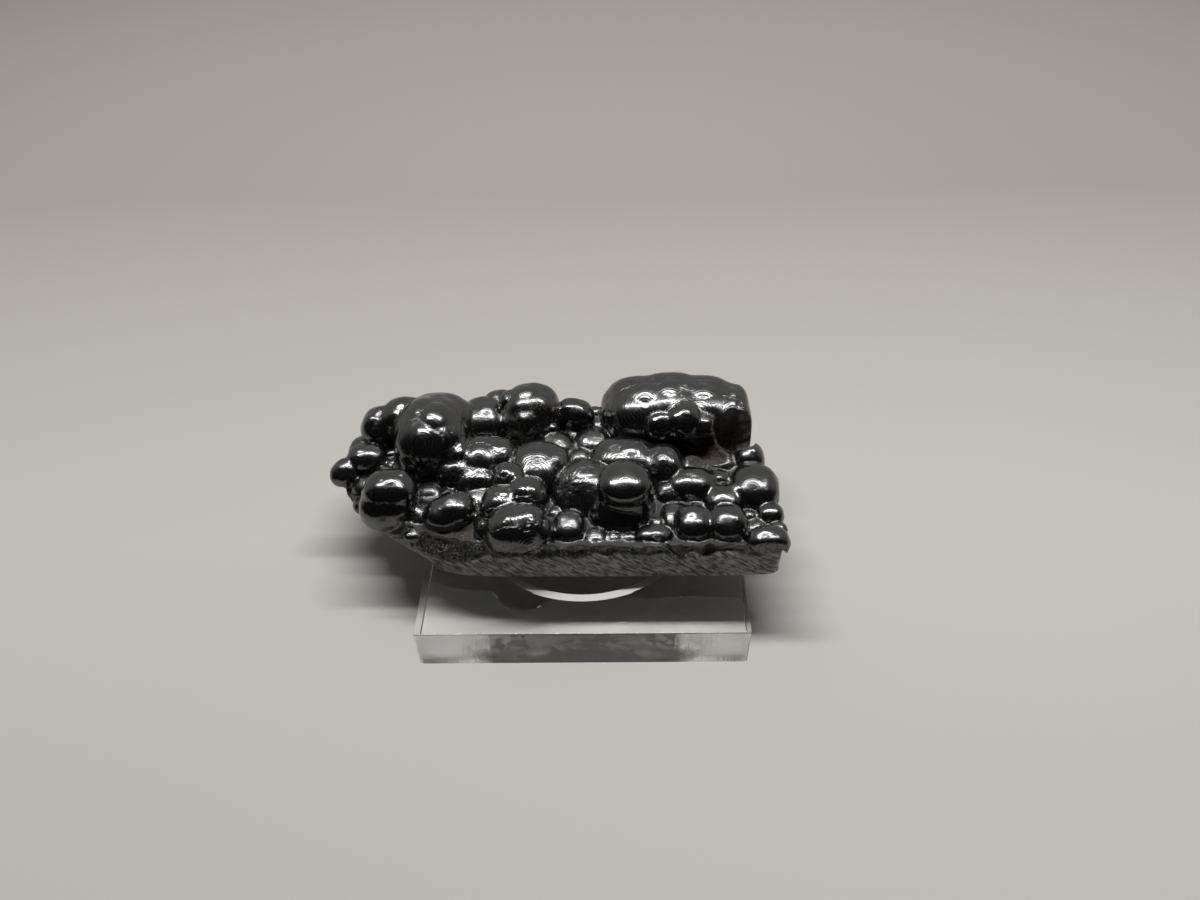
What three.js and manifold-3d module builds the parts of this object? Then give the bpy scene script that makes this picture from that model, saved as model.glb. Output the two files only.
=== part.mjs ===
// Botryoidal hematite specimen lying on a clear acrylic display stand.
// Millimetres, +Z up. The origin is the centre of the stand's underside,
// +X runs along the specimen's length and -Y is its broken front face.

import * as THREE from 'three';
import * as BufferGeometryUtils from 'three/addons/utils/BufferGeometryUtils.js';
import Module from 'manifold-3d';

const wasm = await Module();
wasm.setup();

// ---- driving dimensions ----------------------------------------------

// stand: a square slab with a round hollow in its top
const standWidth = 63.5;
const standHeight = 9.5;
const standCorner = 0.6;
const dishRadius = 24;
const dishDepth = 3;
const dishSides = 48;

// the specimen rests on the stand's flat rim, this far clear of it
const restGap = 0.3;

// matrix: the plate of rock that the crust grew on
const undersideZ = standHeight + restGap;
const bellyZ = 13;
const crustZ = 15.8;
const floorZ = 16.4;
const crustFootZ = 14.4;
const undersideInset = 2.2;
const floorInset = 1;

// the broken front stands upright and ends in a low ledge
const frontY = -18.6;
const uprightY = -17;
const ledgeStartX = -16;
const ledgeEndX = 35;
const ledgeHeight = 1.2;
const ledgeTop = 1.3;
const ledgeFoot = 3.2;

// the left end of the underside rises clear of the stand
const riseStartX = -33;
const riseAngle = 11;

// lobes on each lump: how many, how large and how proud of the lump
const lobeCount = 11;
const lobeSize = 0.42;
const lobeProud = 0.045;
const lobedFrom = 2.4;

// how full the shoulders of the lumps are: 2 is an ellipsoid
const squareness = { usual: 2.5, greatDome: 3.2 };
const goldenAngle = Math.PI * (3 - Math.sqrt(5));

// plan outline of the matrix, anticlockwise from the front right corner
const outlinePoints = [
  [36.0, -18.4], [39.4, -15.8], [40.2, -11.0], [38.9, -5.0], [39.2, 0.5],
  [37.6, 6.5], [35.7, 10.5], [36.4, 18.0], [35.4, 25.0], [29.0, 29.0],
  [14.0, 29.5], [5.0, 26.5], [-4.0, 26.2], [-12.0, 28.2], [-23.0, 27.2],
  [-34.0, 27.8], [-42.0, 26.0], [-48.6, 21.0], [-51.6, 14.0], [-53.4, 7.0],
  [-51.4, 1.5], [-47.0, -4.0], [-41.6, -9.2], [-35.0, -14.0], [-28.0, -17.0],
  [-19.0, -18.3], [0.0, -18.6], [20.0, -18.6],
];
const outlineSteps = 56;

// lumps of the crust, by region: centre x y z, half sizes across x y z
const lumpRegions = {
  crown: [
    [-33.1, 12.9, 17.8, 8.2, 10.8, 8.8],
    [-44.7, 16.9, 17.6, 4.7, 5.4, 5.3],
    [-39.6, 17.9, 20.2, 5.0, 5.4, 4.2],
    [-33.8, 12.7, 21.0, 4.8, 5.0, 4.3],
    [-29.0, 10.8, 20.6, 3.8, 4.4, 4.0],
    [-32.5, 17.4, 16.6, 8.4, 9.0, 8.2],
    [-28.4, 18.4, 16.6, 5.0, 6.0, 6.4],
    [-26.6, 12.4, 18.4, 2.6, 2.6, 2.1],
    [-27.8, 7.4, 18.6, 4.4, 4.4, 3.8],
    [-25.3, 8.3, 17.6, 1.8, 1.8, 1.4],
    [-26.8, 4.4, 16.6, 5.0, 5.0, 4.0],
    [-46.2, 15.0, 19.0, 1.7, 1.7, 1.4],
  ],
  leftEnd: [
    [-51.2, 5.3, 15.6, 3.0, 3.0, 2.4],
    [-50.7, 5.9, 16.0, 2.8, 2.8, 2.6],
    [-46.8, 8.7, 16.8, 4.4, 3.6, 3.0],
    [-37.5, 5.0, 16.6, 3.6, 3.2, 2.6],
    [-48.4, 12.6, 14.6, 3.6, 4.2, 3.6],
  ],
  tieredLump: [
    [-39.1, -3.8, 19.0, 5.7, 5.2, 4.6],
    [-37.1, -2.2, 21.8, 1.8, 1.8, 1.4],
    [-39.7, -5.4, 16.8, 6.0, 5.2, 4.5],
  ],
  frontLeft: [
    [-25.8, -7.3, 17.4, 4.3, 4.2, 3.5],
    [-27.8, -8.3, 17.0, 4.1, 4.0, 3.2],
  ],
  bandedLumps: [
    [-22.1, 7.4, 17.8, 5.0, 5.7, 3.8],
    [-18.3, 8.0, 17.4, 4.1, 5.0, 3.7],
    [-15.7, 5.1, 17.8, 2.4, 2.0, 1.6],
    [-23.6, 4.5, 17.2, 3.5, 3.8, 3.2],
    [-22.5, 2.2, 16.4, 4.8, 4.4, 3.5],
    [-17.8, 3.9, 17.0, 1.9, 1.9, 1.4],
  ],
  ridge: [
    [-9.8, 4.6, 16.4, 6.3, 7.8, 5.4],
    [-6.0, 5.0, 16.6, 3.9, 5.2, 4.8],
  ],
  tower: [
    [-13.0, -13.4, 17.6, 6.2, 5.4, 5.1],
    [-14.3, -13.6, 17.2, 4.6, 4.4, 4.3],
    [-11.0, -12.9, 18.0, 4.4, 4.8, 4.6],
    [-8.1, -13.8, 17.0, 2.8, 3.4, 3.7],
    [-16.1, -6.8, 17.4, 4.8, 4.8, 4.5],
    [-11.6, -5.0, 17.4, 4.8, 5.0, 5.0],
    [-15.4, -0.6, 18.0, 4.0, 4.4, 4.6],
    [-19.6, -12.2, 14.6, 2.0, 3.2, 4.6],
  ],
  backMiddle: [
    [-22.7, 20.3, 15.8, 5.8, 7.0, 5.8],
    [-12.0, 22.1, 18.2, 6.6, 6.8, 5.8],
    [-13.2, 19.0, 17.6, 5.6, 5.6, 4.5],
  ],
  facetedLobes: [
    [-10.8, 20.1, 20.8, 3.0, 3.0, 2.4],
    [-12.5, 17.6, 19.8, 3.2, 3.2, 2.6],
    [-14.3, 23.5, 21.2, 2.6, 2.6, 2.1],
    [-16.2, 22.9, 20.4, 3.0, 3.0, 2.4],
    [-19.4, 24.9, 17.6, 4.0, 4.0, 3.2],
    [-8.2, 20.6, 18.2, 3.4, 3.4, 2.7],
    [-7.7, 17.2, 17.2, 2.2, 2.2, 1.8],
    [-9.4, 16.1, 17.4, 2.0, 2.0, 1.6],
    [-14.4, 16.3, 17.4, 3.2, 3.2, 2.6],
  ],
  pea: [
    [-2.1, 21.2, 17.6, 3.9, 3.9, 3.4],
    [-3.2, 21.7, 19.0, 2.9, 2.9, 2.3],
    [-0.6, 20.4, 17.8, 2.8, 2.8, 2.2],
  ],
  greatDome: [
    [14.7, 20.4, 15.6, 10.4, 10.8, 10.6],
    [24.5, 19.8, 15.6, 10.0, 10.8, 10.5],
    [9.9, 22.8, 15.4, 5.6, 8.0, 7.4],
    [32.2, 18.9, 15.4, 4.4, 8.4, 9.4],
    [7.3, 22.6, 16.2, 4.0, 5.4, 4.8],
    [27.3, 18.7, 19.6, 6.4, 7.4, 6.8],
  ],
  brokenLump: [
    [27.3, 12.9, 16.8, 3.6, 3.4, 3.0],
    [28.8, 12.4, 15.6, 3.2, 3.2, 2.6],
  ],
  frontLobes: [
    [21.4, 16.8, 18.2, 7.0, 7.0, 6.4],
    [16.8, 15.2, 19.8, 3.6, 3.6, 3.8],
    [21.1, 15.8, 20.8, 4.2, 4.6, 4.2],
    [24.7, 14.9, 19.6, 3.4, 3.6, 3.8],
  ],
  boss: [
    [8.4, -5.0, 15.6, 6.3, 6.4, 10.2],
    [7.4, -5.7, 14.0, 7.5, 7.9, 7.6],
  ],
  besideBoss: [
    [8.3, 6.8, 17.6, 7.2, 5.6, 3.8],
    [13.0, 5.0, 17.2, 3.6, 4.6, 3.5],
    [16.8, 5.0, 17.6, 4.2, 5.2, 3.8],
  ],
  rightEnd: [
    [22.1, 0.0, 16.2, 5.6, 4.6, 3.7],
    [23.8, -2.2, 16.0, 3.0, 2.7, 2.2],
    [21.9, -11.2, 16.4, 4.0, 4.6, 3.7],
    [28.6, -11.5, 16.6, 4.3, 4.6, 4.0],
    [36.0, -16.2, 17.0, 4.3, 3.5, 3.2],
    [28.6, -4.2, 16.0, 4.3, 4.2, 2.9],
    [35.1, -0.7, 15.8, 5.4, 6.3, 4.3],
    [37.5, -7.9, 16.0, 2.8, 2.7, 2.1],
    [27.4, 1.7, 16.2, 3.2, 2.7, 2.1],
    [35.0, 8.0, 15.2, 3.6, 4.4, 4.4],
  ],
  lowLumps: [
    [-6.5, 13.0, 15.4, 4.4, 4.2, 2.8],
    [1.8, 14.5, 15.2, 4.4, 4.4, 2.6],
    [-9.5, 8.0, 15.6, 3.8, 3.8, 2.8],
    [5.0, 8.6, 15.4, 4.2, 3.4, 2.8],
    [-21.5, -2.6, 15.2, 4.2, 4.4, 2.8],
    [-19.6, -9.0, 15.2, 2.6, 3.6, 2.6],
    [-33.0, -6.6, 15.0, 3.8, 3.8, 2.6],
    [18.6, -8.6, 15.2, 3.4, 4.2, 2.6],
    [17.6, -1.6, 15.4, 3.4, 3.6, 3.0],
    [-20.6, 12.0, 15.4, 4.2, 4.0, 2.8],
    [-37.0, 4.2, 15.4, 4.4, 3.6, 2.8],
  ],
  frontEdge: [
    [-2.7, -11.3, 16.0, 3.5, 4.2, 3.2],
    [14.0, -13.9, 16.4, 3.7, 2.7, 2.1],
  ],
};

// hollows broken into the crust: centre x y z, half sizes across x y z
const hollows = [
  [31.6, 13.6, 22.4, 4.0, 5.0, 5.2],
  [26.0, 7.2, 19.0, 5.0, 4.4, 2.4],
];

// growth terraces that step down behind and to the left of the boss
const terraces = {
  count: 6,
  lowCentre: [0.8, -1.0, 14.2],
  highCentre: [5.8, -3.2, 22.2],
  lowRadius: 8.6,
  highRadius: 4.8,
  tread: 0.45,
  sides: 24,
};

// ---- solids ----------------------------------------------------------

// a closed geometry as a solid that can be joined and cut
function solidOf(geometry) {
  const bare = geometry.clone();
  bare.deleteAttribute('normal');
  bare.deleteAttribute('uv');
  const merged = BufferGeometryUtils.mergeVertices(bare, 1e-4);
  return new wasm.Manifold(new wasm.Mesh({
    numProp: 3,
    vertProperties: new Float32Array(merged.attributes.position.array),
    triVerts: new Uint32Array(merged.index.array),
  }));
}

function geometryOf(solid) {
  const mesh = solid.getMesh();
  const geometry = new THREE.BufferGeometry();
  geometry.setAttribute('position', new THREE.BufferAttribute(mesh.vertProperties, 3));
  geometry.setIndex(new THREE.BufferAttribute(mesh.triVerts, 1));
  geometry.computeVertexNormals();
  return geometry;
}

// only the outermost shell of a solid: pockets sealed in between lumps are filled
function outerShell(geometry) {
  const triangles = geometry.index.array;
  const parent = Array.from({ length: geometry.attributes.position.count }, (_, i) => i);
  const rootOf = (vertex) => {
    let root = vertex;
    while (parent[root] !== root) root = parent[root];
    return root;
  };
  for (let i = 0; i < triangles.length; i += 3) {
    const root = rootOf(triangles[i]);
    parent[rootOf(triangles[i + 1])] = root;
    parent[rootOf(triangles[i + 2])] = root;
    parent[triangles[i]] = root;
  }
  const shells = new Map();
  for (let i = 0; i < triangles.length; i += 3) {
    const root = rootOf(triangles[i]);
    if (!shells.has(root)) shells.set(root, []);
    shells.get(root).push(triangles[i], triangles[i + 1], triangles[i + 2]);
  }
  const largest = [...shells.values()].sort((p, q) => q.length - p.length)[0];
  const shell = geometry.clone();
  shell.setIndex(largest);
  return shell;
}

function boxSolid(sx, sy, sz, x, y, z, turnY = 0) {
  const box = new THREE.BoxGeometry(sx, sy, sz);
  box.rotateY(THREE.MathUtils.degToRad(turnY));
  box.translate(x, y, z);
  return solidOf(box);
}

// ---- stand -----------------------------------------------------------

function makeStand() {
  const half = standWidth / 2;
  const square = new THREE.Shape();
  const straight = half - standCorner;
  square.moveTo(-straight, -half);
  square.lineTo(straight, -half);
  square.absarc(straight, -straight, standCorner, -Math.PI / 2, 0);
  square.lineTo(half, straight);
  square.absarc(straight, straight, standCorner, 0, Math.PI / 2);
  square.lineTo(-straight, half);
  square.absarc(-straight, straight, standCorner, Math.PI / 2, Math.PI);
  square.lineTo(-half, -straight);
  square.absarc(-straight, -straight, standCorner, Math.PI, Math.PI * 1.5);
  const slab = new THREE.ExtrudeGeometry(square, {
    depth: standHeight, bevelEnabled: false, curveSegments: 2,
  });

  // the hollow is a cap of a large ball, turned about the vertical axis
  const ballRadius = (dishRadius ** 2 + dishDepth ** 2) / (2 * dishDepth);
  const sag = Math.asin(dishRadius / ballRadius);
  const profile = [new THREE.Vector2(0, -dishDepth)];
  const capSteps = 5;
  for (let i = 1; i <= capSteps; i += 1) {
    const angle = sag * i / capSteps;
    const drop = ballRadius * (1 - Math.cos(angle)) - dishDepth;
    profile.push(new THREE.Vector2(ballRadius * Math.sin(angle), drop));
  }
  profile.push(new THREE.Vector2(dishRadius, 1));
  profile.push(new THREE.Vector2(0, 1));
  const dish = new THREE.LatheGeometry(profile, dishSides);
  dish.rotateX(Math.PI / 2);
  dish.translate(0, 0, standHeight);
  return geometryOf(solidOf(slab).subtract(solidOf(dish)));
}

// ---- specimen --------------------------------------------------------

// directions of the lobes that crowd the upper side of a lump
function lobesOf(index) {
  const lobes = [];
  for (let i = 0; i < lobeCount; i += 1) {
    const up = 1 - 1.05 * (i + 0.5) / lobeCount;
    const around = goldenAngle * i + 1.7 * index;
    const out = Math.sqrt(1 - up * up);
    const size = lobeSize * (1 + 0.18 * Math.sin(3.1 * i + index));
    const reach = 1 + lobeProud * (1 + 0.5 * Math.sin(5.3 * i + 2 * index)) - size;
    const centre = new THREE.Vector3(out * Math.cos(around), out * Math.sin(around), up);
    lobes.push({ centre: centre.multiplyScalar(reach), size });
  }
  return lobes;
}

// how far the lobed unit ball reaches along a direction
function lobedReach(direction, lobes) {
  let reach = 1;
  for (const { centre, size } of lobes) {
    const along = direction.dot(centre);
    const left = size * size - centre.lengthSq() + along * along;
    if (left > 0) {
      reach = Math.max(reach, along + Math.sqrt(left));
    }
  }
  return reach;
}

// how far a unit ball with square shoulders reaches along a direction
function squareReach(direction, power) {
  const sum = direction.toArray().reduce((total, part) => total + Math.abs(part) ** power, 0);
  return sum ** (-1 / power);
}

// facets follow the size of the lump
function detailFor(radius) {
  if (radius > 8) return 3;
  return radius > 4.5 ? 2 : 1;
}

function lumpSolid([x, y, z, a, b, c], index, power) {
  const ball = new THREE.IcosahedronGeometry(1, detailFor(Math.max(a, b, c)));
  const lobes = Math.min(a, b) > lobedFrom ? lobesOf(index) : [];
  const position = ball.attributes.position;
  const direction = new THREE.Vector3();
  for (let i = 0; i < position.count; i += 1) {
    direction.fromBufferAttribute(position, i).normalize();
    direction.multiplyScalar(squareReach(direction, power) * lobedReach(direction, lobes));
    position.setXYZ(i, direction.x, direction.y, direction.z);
  }
  ball.scale(a, b, c);
  ball.translate(x, y, z);
  return solidOf(ball);
}

function hollowSolid([x, y, z, a, b, c]) {
  const ball = new THREE.IcosahedronGeometry(1, 1);
  ball.scale(a, b, c);
  ball.translate(x, y, z);
  return solidOf(ball);
}

// a closed solid through a stack of rings of points, lowest ring first
function stackSolid(rings) {
  const sides = rings[0].length;
  const positions = rings.flat().flatMap((point) => [point.x, point.y, point.z]);
  const index = [];
  for (let level = 0; level < rings.length - 1; level += 1) {
    for (let i = 0; i < sides; i += 1) {
      const next = (i + 1) % sides;
      const low = level * sides;
      const high = low + sides;
      index.push(low + i, low + next, high + next);
      index.push(low + i, high + next, high + i);
    }
  }
  const flat = (ring) => ring.map((point) => new THREE.Vector2(point.x, point.y));
  const top = (rings.length - 1) * sides;
  for (const [p, q, r] of THREE.ShapeUtils.triangulateShape(flat(rings[0]), [])) {
    index.push(r, q, p);
  }
  for (const [p, q, r] of THREE.ShapeUtils.triangulateShape(flat(rings.at(-1)), [])) {
    index.push(top + p, top + q, top + r);
  }
  const stack = new THREE.BufferGeometry();
  stack.setAttribute('position', new THREE.Float32BufferAttribute(positions, 3));
  stack.setIndex(index);
  return solidOf(stack);
}

function terraceRing(share, shrink) {
  const lerp = THREE.MathUtils.lerp;
  const { lowCentre, highCentre, lowRadius, highRadius, sides } = terraces;
  const [x, y, z] = lowCentre.map((low, axis) => lerp(low, highCentre[axis], share));
  const radius = lerp(lowRadius, highRadius, share) - shrink;
  return Array.from({ length: sides }, (_, i) => {
    const around = 2 * Math.PI * i / sides;
    return new THREE.Vector3(x + radius * Math.cos(around), y + radius * Math.sin(around), z);
  });
}

// each terrace has a steep riser and a narrow tread
function terraceSolid() {
  const rings = [];
  for (let i = 0; i < terraces.count; i += 1) {
    rings.push(terraceRing(i / terraces.count, 0));
    rings.push(terraceRing((i + 0.85) / terraces.count, -terraces.tread));
  }
  return stackSolid(rings);
}

// a low ridge along the top of the broken front, sloping back to the floor
function ledgeSolid() {
  const side = new THREE.Shape([
    new THREE.Vector2(frontY - 1, crustZ - 2),
    new THREE.Vector2(frontY + ledgeFoot, crustZ - 2),
    new THREE.Vector2(frontY + ledgeFoot, floorZ),
    new THREE.Vector2(frontY + ledgeTop, floorZ + ledgeHeight),
    new THREE.Vector2(frontY - 1, floorZ + ledgeHeight),
  ]);
  const ridge = new THREE.ExtrudeGeometry(side, {
    depth: ledgeEndX - ledgeStartX, bevelEnabled: false,
  });
  // the extrusion runs along +Z: turn its depth to +X, its first axis to +Y
  ridge.applyMatrix4(new THREE.Matrix4().set(
    0, 0, 1, ledgeStartX,
    1, 0, 0, 0,
    0, 1, 0, 0,
    0, 0, 0, 1,
  ));
  return solidOf(ridge);
}

// the outline drawn in towards its middle by an inset, except along the upright front
function insetOutline(points, inset) {
  return points.map((point) => {
    if (point.y < uprightY) return point.clone();
    const reach = point.length();
    return point.clone().multiplyScalar((reach - inset) / reach);
  });
}

// closed plate: underside, belly, crust edge and the floor between the lumps
function matrixSolid() {
  const curve = new THREE.CatmullRomCurve3(
    outlinePoints.map(([x, y]) => new THREE.Vector3(x, y, 0)), true, 'centripetal');
  const edge = curve.getSpacedPoints(outlineSteps).slice(0, outlineSteps)
    .map((point) => new THREE.Vector2(point.x, point.y));
  const rings = [
    [insetOutline(edge, undersideInset), undersideZ],
    [insetOutline(edge, undersideInset * 0.25), bellyZ],
    [edge, crustZ],
    [insetOutline(edge, floorInset), floorZ],
  ];
  return stackSolid(rings.map(([ring, z]) => ring.map(
    (point) => new THREE.Vector3(point.x, Math.max(point.y, frontY), z))));
}

function makeSpecimen() {
  let crust = terraceSolid();
  const lumps = Object.entries(lumpRegions).flatMap(([region, list]) => (
    list.map((lump) => ({ lump, power: squareness[region] ?? squareness.usual }))));
  lumps.forEach(({ lump, power }, index) => {
    crust = crust.add(lumpSolid(lump, index, power));
  });
  // the lumps end a little below the plate's floor
  const big = 200;
  crust = crust.subtract(boxSolid(big, big, big, 0, 0, crustFootZ - big / 2));
  let body = matrixSolid().add(ledgeSolid()).add(crust);
  for (const hollow of hollows) {
    body = body.subtract(hollowSolid(hollow));
  }
  // the break along the front, and the flat underside
  body = body.subtract(boxSolid(big, big, big, 0, frontY - big / 2, 0));
  body = body.subtract(boxSolid(big, big, big, 0, 0, undersideZ - big / 2));
  // the underside rises towards the left end
  const slope = THREE.MathUtils.degToRad(riseAngle);
  const wedgeX = riseStartX - Math.cos(slope) * big / 2 - Math.sin(slope) * big / 2;
  const wedgeZ = undersideZ + Math.sin(slope) * big / 2 - Math.cos(slope) * big / 2;
  body = body.subtract(boxSolid(big, big, big, wedgeX, 0, wedgeZ, riseAngle));
  return outerShell(geometryOf(body));
}

// ---- assembly --------------------------------------------------------

function pieceOf(name, geometry, settings) {
  const piece = new THREE.Mesh(geometry, new THREE.MeshStandardMaterial(settings));
  piece.name = name;
  return piece;
}

const object = new THREE.Group();
object.add(pieceOf('acrylic_stand', makeStand(), {
  color: 0xe8ebea, roughness: 0.05, metalness: 0, transparent: true, opacity: 0.35,
}));
object.add(pieceOf('hematite_specimen', makeSpecimen(), {
  color: 0x1b1b1d, roughness: 0.22, metalness: 0.6,
}));

export default object;
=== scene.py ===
import math

import bpy
import numpy as np
from mathutils import Matrix, Vector


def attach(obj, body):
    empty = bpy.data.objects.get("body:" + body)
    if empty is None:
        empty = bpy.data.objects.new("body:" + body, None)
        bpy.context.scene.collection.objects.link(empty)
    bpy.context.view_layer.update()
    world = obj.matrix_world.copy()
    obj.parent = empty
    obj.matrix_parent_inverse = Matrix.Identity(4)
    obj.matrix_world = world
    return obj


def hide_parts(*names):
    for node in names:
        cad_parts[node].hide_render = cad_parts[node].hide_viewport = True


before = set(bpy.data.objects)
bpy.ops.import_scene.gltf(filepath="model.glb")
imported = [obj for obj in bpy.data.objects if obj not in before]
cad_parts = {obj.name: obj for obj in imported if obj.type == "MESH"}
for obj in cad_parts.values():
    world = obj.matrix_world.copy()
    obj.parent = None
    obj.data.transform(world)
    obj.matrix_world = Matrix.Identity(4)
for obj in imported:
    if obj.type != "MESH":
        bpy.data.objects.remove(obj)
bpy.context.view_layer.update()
print("frame: stand and stone loaded")

mm = 0.001  # the stone and the stand are worked out in millimetres and made in metres

# the stone's plate, its breaks and the mesh that is laid over it
plate = {
    "underside": 9.8,
    "belly": 13.0,
    "crustEdge": 16.4,
    "floor": 16.4,
    "ledge": 1.2,
    "undersideInset": 2.2,
    "floorInset": 1.0,
    "lipInset": 2.6,
    "frontY": -18.7,
    "riseStartX": -33.0,
    "riseAngle": 11.0,
    "shoulderDrop": 0.42,
    "cell": 0.40,
    "margin": 1.2,
    "regionBlend": 0.30,
    "lobeBlend": 0.12,
    "plateBlend": 0.7,
    "crustFoot": 0.8,
}

# plan outline of the plate, anticlockwise from the front right corner
plateOutline = [
    (36.0, -18.4), (39.4, -15.8), (40.2, -11.0), (38.9, -5.0), (39.2, 0.5),
    (37.6, 6.5), (35.7, 10.5), (36.4, 18.0), (35.4, 25.0), (29.0, 29.0),
    (14.0, 29.5), (5.0, 26.5), (-4.0, 26.2), (-12.0, 28.2), (-23.0, 27.2),
    (-34.0, 27.8), (-42.0, 26.0), (-48.6, 21.0), (-51.6, 14.0), (-53.4, 7.0),
    (-51.4, 1.5), (-47.0, -4.0), (-41.6, -9.2), (-35.0, -14.0), (-28.0, -17.0),
    (-19.0, -18.3), (0.0, -18.6), (20.0, -18.6),
]

# what a region of the crust has where it says nothing else. lobes: how many crowd each lump, lobeSize:
# their share of the lump, proud: how far they stand out, ring: depth of the growth rings, scales: 1 where
# the rings run round each lobe and 0 where they run round the lump, blend: how softly the region's lumps
# run together, square: 2 is an ellipsoid and more has fuller shoulders, gloss: how rough the skin is
regionDefaults = {
    "lobes": 8, "lobeSize": 0.7, "proud": 0.04, "ring": 0.003, "scales": 0.5, "blend": 0.5, "square": 2.5,
    "gloss": 0.28,
}

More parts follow.
